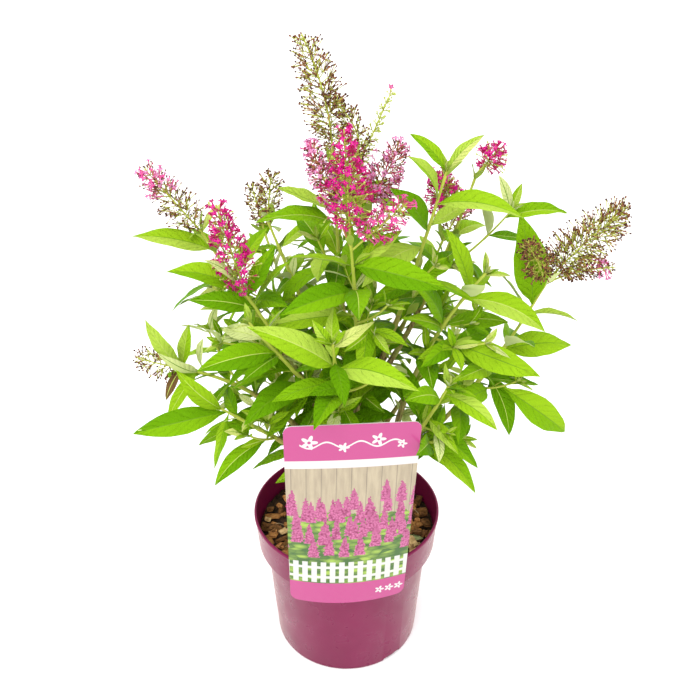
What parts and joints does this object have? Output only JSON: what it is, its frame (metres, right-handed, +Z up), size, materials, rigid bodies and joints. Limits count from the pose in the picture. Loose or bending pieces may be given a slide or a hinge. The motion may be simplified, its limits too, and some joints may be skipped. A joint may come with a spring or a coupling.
{
  "type": "potted butterfly bush",
  "caption": "Flowering shrub in its nursery pot: woody base, boughs, leafy shoots with magenta and spent flower panicles, bark mulch and a picture label card.",
  "frame": {"origin": "middle of the pot's flat underside", "axes": "+Z up along the pot and the plant, -Y towards the side that the picture label faces, +X to the right as seen facing the label"},
  "size_m": [0.4302, 0.2969, 0.6092],
  "materials": {
    "pot_plastic": "satin",
    "growing_medium": "matte",
    "label_card": "gloss",
    "bark": "matte",
    "bough_bark": "matte",
    "foliage": "satin"
  },
  "bodies": {
    "root": {"pot": "pot_plastic", "growing_medium": "growing_medium", "picture_label": "label_card", "trunk": "bark", "bough_centre": "bough_bark", "bough_tall": "bough_bark", "bough_tall_right": "bough_bark", "bough_right_back": "bough_bark", "bough_right": "bough_bark", "bough_right_middle": "bough_bark", "bough_lower_right": "bough_bark", "bough_front": "bough_bark", "bough_lower_left": "bough_bark", "bough_far_left": "bough_bark", "bough_left": "bough_bark", "bough_left_front": "bough_bark", "bough_left_back": "bough_bark", "bough_left_middle": "bough_bark", "bough_back": "bough_bark", "bough_back_right": "bough_bark", "bough_back_left": "bough_bark", "bough_lower_back_right": "bough_bark", "bough_lower_back_left": "bough_bark", "bough_lower_back": "bough_bark", "foliage_centre": "foliage", "foliage_tall": "foliage", "foliage_tall_right": "foliage", "foliage_right_back": "foliage", "foliage_right": "foliage", "foliage_right_middle": "foliage", "foliage_lower_right": "foliage", "foliage_front": "foliage", "foliage_lower_left": "foliage", "foliage_far_left": "foliage", "foliage_left": "foliage", "foliage_left_front": "foliage", "foliage_left_back": "foliage", "foliage_left_middle": "foliage", "foliage_back": "foliage", "foliage_back_right": "foliage", "foliage_back_left": "foliage", "foliage_lower_back_right": "foliage", "foliage_lower_back_left": "foliage", "foliage_lower_back": "foliage"}
  },
  "joints": []
}
